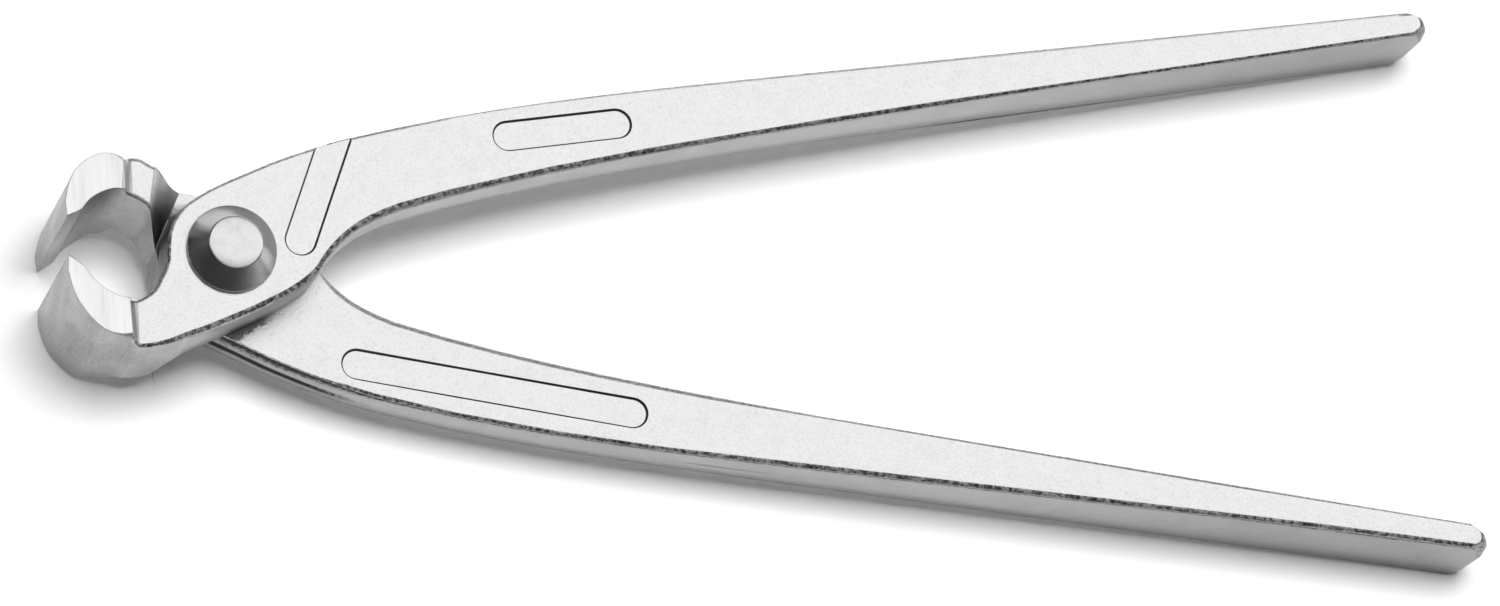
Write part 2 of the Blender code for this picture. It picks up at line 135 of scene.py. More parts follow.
class Bench:
    """Adds nodes to one node tree."""

    def __init__(self, tree: bpy.types.NodeTree) -> None:
        """Starts on a node tree, whose nodes are removed."""
        self.tree = tree
        tree.nodes.clear()

    def add(
        self, kind: str, settings: dict[str, object], inputs: dict[str | int, object], output: str | int = 0
    ) -> Shade:
        """Adds a node.

        Args:
            kind: The node's type.
            settings: Its own settings, set first.
            inputs: Values or links of its sockets, by name or place.
            output: The output socket to return.

        Returns:
            The output, wrapped.
        """
        node = self.tree.nodes.new(kind)
        for name, value in settings.items():
            setattr(node, name, value)
        for name, value in inputs.items():
            socket = node.inputs[name]
            source = value.value if isinstance(value, Shade) else value
            if isinstance(source, bpy.types.NodeSocket):
                self.tree.links.new(source, socket)
            else:
                socket.default_value = source
        return Shade(self, node.outputs[output] if len(node.outputs) else 0.0)

    def split(self, vector: Shade) -> tuple[Shade, Shade, Shade]:
        """Splits a vector.

        Args:
            vector: The vector.

        Returns:
            Its three parts.
        """
        parts = self.add("ShaderNodeSeparateXYZ", {}, {0: vector})
        x, y, z = parts.value.node.outputs
        return Shade(self, x), Shade(self, y), Shade(self, z)

    def mix_colour(self, factor: Shade, first: object, second: object) -> Shade:
        """Mixes two colours: a factor of 0 gives the first, and 1 the second."""
        settings = {"data_type": "RGBA", "clamp_factor": True}
        return self.add("ShaderNodeMix", settings, {0: factor, 6: first, 7: second}, output=2)

    def place(self) -> Shade:
        """The Object coordinates."""
        return self.add("ShaderNodeTexCoord", {}, {}, output="Object")

    def measure(self, name: str) -> Shade:
        """A number stored on the mesh, by its attribute's name."""
        return self.add("ShaderNodeAttribute", {"attribute_name": name}, {}, output="Fac")

    def bump(self, height: Shade, depth: float) -> Shade:
        """The normal of a surface whose height of 1 is that deep, in metres."""
        return self.add("ShaderNodeBump", {}, {"Distance": depth, "Height": height})

    def rays(self) -> tuple[Shade, Shade]:
        """Tells the light paths apart.

        Returns:
            1 for a camera ray, and 1 for a glossy or a transmission ray.
        """
        names = ("Is Camera Ray", "Is Glossy Ray", "Is Transmission Ray")
        paths = (self.add("ShaderNodeLightPath", {}, {}, output=name) for name in names)
        camera, glossy, through = paths
        return camera, glossy + through


@dataclass(frozen=True)
class Rise:
    """A smooth step from 0 at the start to a share at the end, which may lie below the start."""

    start: float
    end: float
    share: float = 1.0

    def of(self, value: Shade) -> Shade:
        """The step's height at a value."""
        return value.rise(self.start, self.end) * self.share


@dataclass(frozen=True)
class Part:
    """A plain share of a value."""

    share: float

    def of(self, value: Shade) -> Shade:
        """The share of a value."""
        return value * self.share


class Texture:
    """A value spread over a surface."""

    def over(self, place: Shade) -> Shade:
        """The texture over the Object coordinates."""
        raise NotImplementedError


@dataclass(frozen=True)
class Noise(Texture):
    """Noise between 0 and 1, by its bumps per metre, its finer layers and their strength.

    The coordinates can be scaled along each axis and turned about each axis first.
    """

    bumps: float
    finer: float
    strength: float
    stretch: Triple = (1.0, 1.0, 1.0)
    turn: Triple = (0.0, 0.0, 0.0)

    def over(self, place: Shade) -> Shade:
        """Spreads the noise over the surface.

        Args:
            place: The Object coordinates.

        Returns:
            The noise.
        """
        mapping = {"Vector": place, "Scale": self.stretch, "Rotation": self.turn}
        placed = place.bench.add("ShaderNodeMapping", {}, mapping)
        inputs = {"Vector": placed, "Scale": self.bumps, "Detail": self.finer, "Roughness": self.strength}
        return place.bench.add("ShaderNodeTexNoise", {}, inputs)


@dataclass(frozen=True)
class Pits(Texture):
    """Round pits, 1 at the middle of each, by their number per metre and their edge's distance."""

    number: float
    edge: Rise

    def over(self, place: Shade) -> Shade:
        """The pits over the Object coordinates."""
        inputs = {"Vector": place, "Scale": self.number}
        return self.edge.of(place.bench.add("ShaderNodeTexVoronoi", {}, inputs))


@dataclass(frozen=True)
class Radius(Texture):
    """The distance from the rivet's axis."""

    def over(self, place: Shade) -> Shade:
        """The distance at the Object coordinates."""
        x, y, _ = place.bench.split(place)
        return (x * x + y * y) ** 0.5


@dataclass(frozen=True)
class Rings(Radius):
    """Rings about the rivet's axis, between -1 and 1, by their radians per metre outwards."""

    pace: float

    def over(self, place: Shade) -> Shade:
        """The rings over the Object coordinates."""
        return (super().over(place) * self.pace).sine()


# Noises that several finishes share.
FINE = Noise(2600, 3.0, 0.65)
COARSE = Noise(1500, 4.0, 0.7)
WAVES = Noise(420, 2.0, 0.5)


@dataclass(frozen=True)
class Layer:
    """A texture of a finish, with what it adds to the wear, the roughness and the height."""

    texture: Texture
    wear: Rise | Part | None = None
    roughness: Rise | Part | None = None
    height: float = 0.0


def grey(shade: float) -> tuple[float, float, float, float]:
    """A grey colour."""
    return (shade, shade, shade, 1.0)


@dataclass(frozen=True)
class Finish:
    """A plated steel surface, whose layers wear it from its shade to a duller one."""

    name: str
    shade: float
    dull_shade: float
    roughness: float
    bump_depth: float
    layers: tuple[Layer, ...]

    def lay(self, values: list[Shade]) -> tuple[Shade, Shade, Shade]:
        """Adds up what the layers give.

        Args:
            values: Each layer's texture over the surface.

        Returns:
            The wear, the roughness and the height.
        """
        pairs = list(zip(self.layers, values))
        wear = sum(layer.wear.of(value) for layer, value in pairs if layer.wear)
        rough = sum(layer.roughness.of(value) for layer, value in pairs if layer.roughness)
        height = sum(value * layer.height for layer, value in pairs if layer.height)
        return wear, self.roughness + rough, height

    def worn(self, bench: Bench, wear: Shade) -> Shade:
        """The colour where the surface is worn that much."""
        return bench.mix_colour(wear.held(), grey(self.shade), grey(self.dull_shade))

    def pattern(self, bench: Bench) -> dict[str, Shade]:
        """Lays the layers over each other.

        Args:
            bench: The material's bench.

        Returns:
            The names of the sockets that change over the surface, and what feeds them.
        """
        place = bench.place()
        wear, roughness, height = self.lay([layer.texture.over(place) for layer in self.layers])
        return {
            "Base Color": self.worn(bench, wear),
            "Roughness": roughness,
            "Normal": bench.bump(height, self.bump_depth),
        }

    def material(self) -> bpy.types.Material:
        """Builds the material, or finds the one already built.

        Returns:
            The material.
        """
        known = bpy.data.materials.get(self.name)
        if known is not None:
            return known
        made = bpy.data.materials.new(self.name)
        made.use_nodes = True
        bench = Bench(made.node_tree)
        inputs: dict[str | int, object] = {"Metallic": 1.0, "Specular IOR Level": 0.0}
        inputs.update(self.pattern(bench))
        surface = bench.add("ShaderNodeBsdfPrincipled", {}, inputs)
        bench.add("ShaderNodeOutputMaterial", {}, {"Surface": surface})
        return made


@dataclass(frozen=True)
class ForgedFace(Finish):
    """The broad forged faces: bright mottled plate over shallow pits, with a few wider waves."""

    name: str = "plated_forged_face"
    shade: float = 0.96
    dull_shade: float = 0.70
    roughness: float = 0.30
    bump_depth: float = 0.000028
    layers: tuple[Layer, ...] = (
        Layer(FINE, wear=Rise(0.60, 0.36, 0.48), roughness=Rise(0.3, 0.8, 0.10), height=1.1),
        Layer(Pits(1200, Rise(0.45, 0.0)), wear=Part(0.20), height=-0.5),
        Layer(WAVES, wear=Rise(0.35, 0.75, 0.12), height=0.6),
    )


@dataclass(frozen=True)
class GroundJaw(Finish):
    """The jaw's ground faces, with fine grinding lines and wider bands across the jaw."""

    name: str = "plated_ground_jaw"
    shade: float = 0.95
    dull_shade: float = 0.66
    roughness: float = 0.26
    bump_depth: float = 0.000008
    layers: tuple[Layer, ...] = (
        Layer(Noise(3800, 3.0, 0.6, stretch=(1.0, 0.04, 0.25)), wear=Rise(0.45, 0.75, 0.32), height=0.6),
        Layer(
            Noise(900, 2.0, 0.5, stretch=(1.0, 0.06, 0.25)),
            wear=Rise(0.42, 0.72, 0.12),
            roughness=Part(0.08),
            height=0.6,
        ),
    )


@dataclass(frozen=True)
class PolishedFlank(Finish):
    """The jaw's curved outside and the hollow beside the joint, ground smooth before plating.

    Its broad facets, faint lines up the flank and fine mottling get darker deeper down, as painted
    shade. Its shade, lower than the faces', is painted shade in part.
    """

    name: str = "plated_polished_flank"
    shade: float = 0.47
    dull_shade: float = 0.27
    roughness: float = 0.34
    bump_depth: float = 0.000014
    layers: tuple[Layer, ...] = (
        Layer(
            Noise(230, 2.0, 0.5, stretch=(1.0, 1.0, 0.45), turn=(0.5, 0.4, 0.0)),
            wear=Rise(0.35, 0.65, 0.45),
            roughness=Part(0.08),
            height=0.9,
        ),
        Layer(Noise(1700, 3.0, 0.6, stretch=(1.0, 1.0, 0.07)), wear=Rise(0.45, 0.75, 0.2), height=0.2),
        Layer(FINE, wear=Rise(0.38, 0.66, 0.45), height=0.4),
    )
    deep: Rise = Rise(0.0, 1.0)
    # painted shade, which the surface reaches deeper down
    deep_painted_shade: float = 0.30

    def worn(self, bench: Bench, wear: Shade) -> Shade:
        """The colour where the surface is worn that much, with painted shade deeper down."""
        deep = self.deep.of(bench.measure(DEPTH))
        return bench.mix_colour(deep, super().worn(bench, wear), grey(self.deep_painted_shade))


@dataclass(frozen=True)
class TrimmedEdge(Finish):
    """The grainy edge between a face and a wall, where the forging was trimmed and tumbled.

    Its dark grain is partly the edge's own grain and partly painted reflection of the dim surroundings,
    and fades by a share where the edge lies lower than the face.
    """

    name: str = "plated_trimmed_edge"
    shade: float = 0.62
    # partly painted reflection: this dark stands for the dim surroundings seen in the edge, as well as its
    # grain
    dull_shade: float = 0.08
    roughness: float = 0.40
    bump_depth: float = 0.000050
    layers: tuple[Layer, ...] = (
        Layer(COARSE, wear=Rise(0.39, 0.59, 0.9), roughness=Part(0.15), height=1.0),
        Layer(Pits(1100, Rise(0.5, 0.05)), wear=Part(0.3), height=-0.5),
    )
    low: Rise = Rise(0.00020, 0.00050)
    fade: float = 0.65

    def worn(self, bench: Bench, wear: Shade) -> Shade:
        """The colour where the surface is worn that much, less lower down."""
        low = self.low.of(bench.measure(DEPTH))
        return super().worn(bench, wear * (1 - low * self.fade))


@dataclass(frozen=True)
class ForgedWall(Finish):
    """The lever's side walls, as they left the die, with the trimmed flash on their parting line.

    The layers are streaks along the wall, clouds and coarse grain. The wall's shade is painted shade,
    darker than the faces', and a painted shadow darkens it towards its foot; it is also darker
    towards the handle's end. A ragged dark band lies under its upper edge, upper_band_reach deep and
    root_reach deeper near the joint, full and gone at shares of that. The flash is a band at a
    share of the wall's height, between two places along the tool.
    """

    name: str = "plated_forged_wall"
    # painted shade: the walls are darker than the upper faces, as if turned away from the bright roof
    shade: float = 0.41
    dull_shade: float = 0.33
    roughness: float = 0.34
    bump_depth: float = 0.000022
    layers: tuple[Layer, ...] = (
        Layer(Noise(1500, 3.0, 0.6, stretch=(0.22, 0.22, 1.0)), wear=Rise(0.5, 0.8, 0.3), height=0.7),
        Layer(Noise(160, 2.0, 0.5), wear=Rise(0.35, 0.7, 0.35), roughness=Part(0.08)),
        Layer(COARSE, wear=Rise(0.45, 0.7, 0.45), height=0.5),
    )
    # painted shadow: the wall darkens to this shade towards its foot, and the same shade darkens it towards
    # the handle's end
    foot_shade: float = 0.20
    foot: Rise = Rise(0.45, 0.0)
    foot_raggedness: float = 0.1
    outer_end: Rise = Rise(0.110, 0.165, 0.38)

    # a ragged dark band under the wall's upper edge
    upper_band_shade: float = 0.05
    upper_band_cover: float = 0.95
    upper_band_dullness: float = 0.9
    upper_band_roughness: float = 0.1
    upper_band_height: float = 3.0
    upper_band_reach: float = 0.0006
    upper_band_raggedness: float = 2.0
    upper_band_full: float = 0.35
    upper_band_gone: float = 1.3
    root: Rise = Rise(0.032, 0.002)
    root_reach: float = 0.0002

    flash_shade: float = 0.03
    flash_cover: float = 0.95
    flash_dullness: float = 0.9
    flash_share: float = 0.41
    flash_band: Rise = Rise(0.14, 0.07)
    flash_wander: float = 0.06
    flash_start_x: float = -0.0085
    flash_start_run: float = 0.001
    flash_end_x: float = 0.021
    flash_end_run: float = 0.008
    flash_end_raggedness: float = 0.02

    def pattern(self, bench: Bench) -> dict[str, Shade]:
        """Adds the painted shadow at the foot, the darker end, the dark upper band and the flash to the
        layers.

        Args:
            bench: The material's bench.

        Returns:
            Socket names and what feeds them.
        """
        place = bench.place()
        x, _, _ = bench.split(place)
        share = bench.measure(SHARE)
        streaks, clouds, coarse = (layer.texture.over(place) for layer in self.layers)
        wear, roughness, height = self.lay([streaks, clouds, coarse])
        # the ragged dark band under the upper edge
        scale = self._upper_band(x, bench.measure(DEPTH), coarse)
        flash = self._flash(x, share, streaks, coarse)
        # painted shadow, darker towards the wall's foot
        foot = self.foot.of(share + (clouds - 0.5) * self.foot_raggedness)
        shade = self.worn(bench, wear)
        for cover, darker in (
            (foot, self.foot_shade),
            (self.outer_end.of(x), self.foot_shade),
            (scale * self.upper_band_cover, self.upper_band_shade),
            (flash * self.flash_cover, self.flash_shade),
        ):
            shade = bench.mix_colour(cover, shade, grey(darker))
        dull = (scale * self.upper_band_dullness + flash * self.flash_dullness).held()
        height = height + coarse * scale * self.upper_band_height
        return {
            "Base Color": shade,
            "Metallic": 1 - dull,
            "Roughness": roughness + scale * self.upper_band_roughness,
            "Normal": bench.bump(height, self.bump_depth),
        }

    def _upper_band(self, x: Shade, depth: Shade, coarse: Shade) -> Shade:
        """The ragged dark band under the upper edge.

        Args:
            x: The place along the tool.
            depth: The depth below the upper face.
            coarse: Coarse noise.

        Returns:
            1 on the band, else 0.
        """
        reach = self.root.of(x) * self.root_reach + self.upper_band_reach
        ragged = depth + (coarse - 0.5) * reach * self.upper_band_raggedness
        return ragged.rise(reach * self.upper_band_gone, reach * self.upper_band_full)

    def _flash(self, x: Shade, share: Shade, streaks: Shade, coarse: Shade) -> Shade:
        """The trimmed flash.

        Args:
            x: The place along the tool.
            share: The share of the wall's height.
            streaks: Noise drawn out along the wall.
            coarse: Coarse noise.

        Returns:
            1 on the flash, else 0.
        """
        off_line = (share - self.flash_share + (streaks - 0.5) * self.flash_wander).size()
        ragged = (coarse - 0.5) * self.flash_end_raggedness + x
        end = ragged.rise(self.flash_end_x, self.flash_end_x - self.flash_end_run)
        start = x.rise(self.flash_start_x, self.flash_start_x + self.flash_start_run)
        return self.flash_band.of(off_line) * end * start


@dataclass(frozen=True)
class LapFace(ForgedFace):
    """The joint's lapped face and the forged face beyond it, with painted shade where levers meet.

    Painted shade fills the joint on its jaws' side, and a painted shadow lies in a band under the edge
    of the other lever's plate, which runs at an angle and passes the rivet's axis at a distance.
    """

    name: str = "plated_lap_face"
    # painted shade inside the joint and painted shadow along the other plate's edge
    lap_painted_shade: float = 0.06
    raggedness: float = 0.003
    joint: Rise = Rise(0.0100, 0.0072)
    joint_end: Rise = Rise(-0.002, -0.004)
    plate_angle: float = math.radians(32.0)
    plate_distance: float = -0.0096
    plate_raggedness: float = 0.7
    band_inside: Rise = Rise(-0.0010, -0.0004)
    band_outside: Rise = Rise(0.0020, 0.0016)
    band_end: Rise = Rise(0.0085, 0.0050, 0.85)

    def pattern(self, bench: Bench) -> dict[str, Shade]:
        """Adds painted shade inside the joint and along the plate's edge to the forged face's layers.

        Args:
            bench: The material's bench.

        Returns:
            Socket names and what feeds them.
        """
        sockets = super().pattern(bench)
        place = bench.place()
        x, y, _ = bench.split(place)
        ragged = (COARSE.over(place) - 0.5) * self.raggedness
        joint = self.joint.of(ragged + y.size()) * self.joint_end.of(x)
        across = y * math.cos(self.plate_angle) - x * math.sin(self.plate_angle)
        across = across - self.plate_distance + ragged * self.plate_raggedness
        band = self.band_inside.of(across) * self.band_outside.of(across) * self.band_end.of(x)
        bare = sockets["Base Color"]
        # painted shade and shadow darken the face
        sockets["Base Color"] = bench.mix_colour(joint + band, bare, grey(self.lap_painted_shade))
        return sockets


@dataclass(frozen=True)
class TurnedSteel(Finish):
    """The rivet, turned and plated: fine rings, soft clouds and painted shade on the cone round each disc."""

    name: str = "plated_turned_rivet"
    shade: float = 0.73
    dull_shade: float = 0.5256
    roughness: float = 0.15
    bump_depth: float = 0.000003
    layers: tuple[Layer, ...] = (
        Layer(Rings(34000.0), height=0.3),
        Layer(WAVES, wear=Rise(0.4, 0.8, 0.3), roughness=Part(0.08), height=1.2),
        Layer(FINE, wear=Rise(0.4, 0.7, 0.25)),
        Layer(Radius(), roughness=Rise(0.00385, 0.0040, 0.06)),
    )
    cone: Rise = Rise(0.00385, 0.0040)
    # painted shade: the cone is darker than the disc because of how light falls on its slope
    cone_painted_shade: float = 0.54
    cone_painted_dull_shade: float = 0.378

    def worn(self, bench: Bench, wear: Shade) -> Shade:
        """The colour where the surface is worn that much, with painted shade on the cone.

        Args:
            bench: The material's bench.
            wear: The wear.

        Returns:
            The colour.
        """
        cone = self.cone.of(Radius().over(bench.place()))
        bright = bench.mix_colour(cone, grey(self.shade), grey(self.cone_painted_shade))
        dull = bench.mix_colour(cone, grey(self.dull_shade), grey(self.cone_painted_dull_shade))
        return bench.mix_colour(wear.held(), bright, dull)


class Surface(Enum):
    """The kinds of surface on a lever."""

    FACE = "face"
    WALL = "wall"
    EDGE = "edge"
    FAR_EDGE = "far_edge"
    TIP = "tip"
    GROOVE = "groove"
    GROUND = "ground"
    FLANK = "flank"
    HOLLOW = "hollow"
    FILLET = "fillet"
    LAP = "lap"
    BOSS = "boss"


@dataclass(frozen=True)
class LeverFinishes:
    """One finish for each kind of surface, whose shades differ partly as painted light and shade."""

    wall: Finish
    face: Finish = ForgedFace()
    edge: Finish = TrimmedEdge()
    # painted light: a lighter copy of the edge for edges that face the lamp, away from the camera
    far_edge: Finish = TrimmedEdge("plated_far_edge", shade=0.88, dull_shade=0.56)
    # painted shade: a darker copy of the edge for the handle's rounded end
    tip: Finish = TrimmedEdge("plated_tip_edge", shade=0.44, dull_shade=0.12, fade=0.2)
    # painted shade along the recesses' rims
    groove: Finish = PolishedFlank("plated_recess_edge", shade=0.16, dull_shade=0.07, deep_painted_shade=0.07)
    ground: Finish = GroundJaw()
    # painted shade in part: the jaw's outside is darker than the faces
    flank: Finish = PolishedFlank()
    # painted shade, deepening down the hollow beside the neck
    hollow: Finish = PolishedFlank(
        "plated_neck_hollow", shade=0.80, dull_shade=0.50, deep=Rise(0.0002, 0.0045), deep_painted_shade=0.10
    )
    # painted shade in the shoulder between jaw and neck
    fillet: Finish = PolishedFlank("plated_shoulder", shade=0.70, dull_shade=0.50)
    lap: Finish = LapFace()
    # painted shade on the boss's wall that faces the jaws
    boss: Finish = PolishedFlank("plated_boss_wall", shade=0.34, dull_shade=0.12)

    def finish(self, surface: Surface) -> Finish:
        """The finish of one kind of surface."""
        return getattr(self, surface.value)


def round_edges(mesh: BMesh, edges: list[BMEdge], radius: float) -> None:
    """Rounds edges with two strips each.

    Args:
        mesh: The mesh.
        edges: The edges.
        radius: The width taken off each side.
    """
    bmesh.ops.bevel(
        mesh, geom=edges, offset=radius, offset_type="OFFSET", affect="EDGES", segments=2, profile=0.5
    )


@dataclass(frozen=True)
class HeightProbe:
    """Finds a lever's upper or under face beside a place on its outside."""

    tree: BVHTree
    inset: float = 0.0012
    least_lean: float = 0.2
    ray_start: float = 0.1

    def height(self, vert: BMVert, side: int) -> float:
        """The face's height beside a vertex.

        Args:
            vert: The vertex.
            side: 1 for the upper face, -1 for the under face.

        Returns:
            The height, or the vertex's own where no face is found.
        """
        outwards = vert.normal.xy
        inwards = Vector((0.0, 0.0))
        if outwards.length > self.least_lean:
            inwards = -outwards.normalized() * self.inset
        start = Vector((vert.co.x + inwards.x, vert.co.y + inwards.y, side * self.ray_start))
        hit = self.tree.ray_cast(start, Vector((0, 0, -side)))[0]
        return vert.co.z if hit is None else hit.z


@dataclass(frozen=True)
class TipCut:
    """A cut round the handle's tip.

    It is tilted by an angle in degrees, up above 0 and down below. It lies back from the tip's
    outline by the setback, and reaches a share of half the tip's height.
    """

    tilt: float
    setback: float
    height_share: float


@dataclass
class HandleTip:
    """The round end of a handle, which points along X turned by an angle about Z.

    The handle ends a setback short of its solid. The tip is an ellipse in plan: the run is its
    half length, and the handle's narrowed half width is its half width. Until the tip is made, it
    starts nowhere and holds the whole lever.
    """

    angle: float
    setback: float = 0.0009
    length: float = 0.0060
    spare: float = 0.001
    run: float = 0.0023
    narrowing: float = 0.94
    side_share: float = 0.25
    upright: TipCut = TipCut(0.0, 0.0, 0.0)
    tilted: tuple[TipCut, ...] = (
        TipCut(12.0, 0.00045, 0.45),
        TipCut(30.0, 0.00115, 0.72),
        TipCut(50.0, 0.00190, 0.90),
        TipCut(-12.0, 0.00005, 0.60),
        TipCut(-32.0, 0.00030, 0.84),
        TipCut(-58.0, 0.00090, 0.965),
    )
    turns: range = range(-75, 76, 15)
    most_tilted_turn: int = 60
    weld: float = 2e-6
    slack: float = 1e-5
    snap: float = 1e-7
    start: float = field(default=-math.inf, init=False)

    def heading(self) -> Vector:
        """The handle's direction at its tip."""
        return Vector((math.cos(self.angle), math.sin(self.angle), 0.0))

    def across(self) -> Vector:
        """The level direction across the handle."""
        return Vector((-math.sin(self.angle), math.cos(self.angle), 0.0))

    def holds(self, place: Vector) -> bool:
        """Whether a place lies beyond the tip's start."""
        return place.dot(self.heading()) > self.start + self.slack

    def round(self, mesh: BMesh) -> None:
        """Cuts the handle off where its tip starts, draws it out again and cuts it round.

        Args:
            mesh: The lever's mesh.
        """
        heading, across = self.heading(), self.across()
        end = max(vert.co.dot(heading) for vert in mesh.verts) - self.setback
        section = self._trim(mesh, heading * (end - self.length), heading)
        self.start = end - self.length
        sides = [vert.co.dot(across) for vert in section.verts]
        heights = [vert.co.z for vert in section.verts]
        base = across * ((max(sides) + min(sides)) / 2)
        base = base + Vector((0.0, 0.0, (max(heights) + min(heights)) / 2))
        half_width = (max(sides) - min(sides)) / 2 * self.narrowing
        half_height = (max(heights) - min(heights)) / 2
        self._draw_out(mesh, section, base + heading * end)
        self._cut_round(mesh, base + heading * (end - self.run), half_width, half_height)
        bmesh.ops.remove_doubles(mesh, verts=mesh.verts, dist=self.weld)
        bmesh.ops.recalc_face_normals(mesh, faces=mesh.faces)

    def _draw_out(self, mesh: BMesh, section: BMFace, end: Vector) -> None:
        """Draws the handle out again, a little past its end and a little narrower there.

        Args:
            mesh: The mesh.
            section: The face at the tip's start.
            end: The middle of the handle's end.
        """
        grown = bmesh.ops.extrude_face_region(mesh, geom=[section])["geom"]
        bmesh.ops.delete(mesh, geom=[section], context="FACES_ONLY")
        verts = [item for item in grown if isinstance(item, BMVert)]
        out = self.heading() * (self.length + self.spare)
        bmesh.ops.translate(mesh, vec=out, verts=verts)
        space = Matrix.Translation(-end)
        bmesh.ops.scale(mesh, vec=(1, self.narrowing, 1), space=space, verts=verts)

    def _cut_round(self, mesh: BMesh, centre: Vector, half_width: float, half_height: float) -> None:
        """Cuts the tip round with planes, upright all round and tilted round its front.

        Args:
            mesh: The mesh.
            centre: The middle of the tip's ellipse.
            half_width: Half the tip's width.
            half_height: Half the tip's height.
        """
        for degrees in self.turns:
            turn = math.radians(degrees)
            ahead, aside = math.cos(turn), math.sin(turn)
            out = self.heading() * ahead + self.across() * aside
            plan = math.hypot(self.run * ahead, half_width * aside)
            share = ahead**2 + self.side_share * aside**2
            tilted = self.tilted if abs(degrees) <= self.most_tilted_turn else ()
            for cut in (self.upright, *tilted):
                tilt = math.radians(cut.tilt)
                normal = out * math.cos(tilt) + Vector((0.0, 0.0, math.sin(tilt)))
                reach = math.cos(tilt) * (plan - cut.setback * share)
                reach += abs(math.sin(tilt)) * cut.height_share * half_height
                self._trim(mesh, centre + normal * reach, normal)

    def _trim(self, mesh: BMesh, place: Vector, normal: Vector) -> BMFace | None:
        """Cuts off what the tip holds beyond a plane, and closes the cut.

        Args:
            mesh: The mesh.
            place: A point of the plane.
            normal: The direction that is cut off.

        Returns:
            The cut's face, or None where nothing was cut.
        """
        faces = [face for face in mesh.faces if self.holds(face.calc_center_median())]
        edges = dict.fromkeys(edge for face in faces for edge in face.edges)
        verts = dict.fromkeys(vert for face in faces for vert in face.verts)
        geom = [*verts, *edges, *faces]
        cut = bmesh.ops.bisect_plane(
            mesh, geom=geom, dist=self.snap, plane_co=place, plane_no=normal, clear_outer=True
        )
        rim = [item for item in cut["geom_cut"] if isinstance(item, BMEdge) and item.is_boundary]
        if len(rim) < 3:
            return None
        return bmesh.ops.edgeloop_fill(mesh, edges=rim)["faces"][0]


@dataclass
class Recesses:
    """The shallow recesses in a lever's faces, whose rims are rounded.

    A recess's wall is a low upright face beyond start_x. Its level edges are the rim and the
    floor's outline.
    """

    radius: float = 0.00015
    reach: float = 0.00030
    strip_area: float = 0.000010
    start_x: float = 0.004
    most_depth: float = 0.0006
    wall_lean: float = 0.5
    upright_share: float = 0.8
    level_share: float = 0.3
    lines: list[tuple[Vector, Vector]] = field(default_factory=list, init=False)

    def round(self, mesh: BMesh) -> None:
        """Rounds the recesses' rims and notes where they run.

        Args:
            mesh: The lever's mesh.
        """
        mesh.normal_update()
        rims: set[BMEdge] = set()
        for face in mesh.faces:
            level = self._level_edges(face)
            if len(level) < 2:
                continue
            for edge in level:
                rims.add(edge)
                start, end = edge.verts
                self.lines.append((start.co.xy.copy(), end.co.xy.copy()))
        round_edges(mesh, list(rims), self.radius)

    def _level_edges(self, face: BMFace) -> list[BMEdge]:
        """Finds the level edges of a recess's wall.

        Args:
            face: Any face.

        Returns:
            The edges, or none where the face isn't a recess's wall.
        """
        rises = [abs(edge.verts[0].co.z - edge.verts[1].co.z) for edge in face.edges]
        slopes = [rise / edge.calc_length() for rise, edge in zip(rises, face.edges)]
        upright = [rise for rise, slope in zip(rises, slopes) if slope > self.upright_share]
        if not upright or max(upright) > self.most_depth:
            return []
        if abs(face.normal.z) > self.wall_lean or face.calc_center_median().x < self.start_x:
            return []
        level = [edge for edge, slope in zip(face.edges, slopes) if slope < self.level_share]
        return [edge for edge in level if any(abs(near.normal.z) > LEVEL for near in edge.link_faces)]

    def near(self, place: Vector) -> bool:
        """Tells places at a rim from others.

        Args:
            place: The place.

        Returns:
            Whether it lies on a recess's rim, seen from above.
        """
        for start, end in self.lines:
            near, part = intersect_point_line(place.xy, start, end)
            near = start if part < 0 else end if part > 1 else near
            if (near.xy - place.xy).length < self.reach:
                return True
        return False

    def holds(self, face: BMFace) -> bool:
        """Whether a face is a narrow strip of a recess's rim."""
        return face.calc_area() < self.strip_area and self.near(face.calc_center_median())


@dataclass(kw_only=True)
class Piece:
    """A visible piece, which rides on one body and stands for one CAD node."""

    node: str
    body: str
    slot: str
    sharp_angle: float
    normal_weight: int

    def show(self, mesh: BMesh, name: str, materials: list[bpy.types.Material]) -> bpy.types.Object:
        """Turns a finished mesh into an object of the scene.

        Args:
            mesh: The mesh, in the row frame. It is freed.
            name: The object's name.
            materials: The mesh's materials, in order.

        Returns:
            The new object.
        """
        for face in mesh.faces:
            face.smooth = True
        data = bpy.data.meshes.new(name)
        mesh.to_mesh(data)
        mesh.free()
        for material in materials:
            data.materials.append(material)
        data.set_sharp_from_angle(angle=self.sharp_angle)
        piece = bpy.data.objects.new(name, data)
        bpy.context.scene.collection.objects.link(piece)
        weights = piece.modifiers.new("flat_faces", "WEIGHTED_NORMAL")
        weights.keep_sharp = True
        weights.weight = self.normal_weight
        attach(piece, self.body)
        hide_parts(self.node)
        return piece


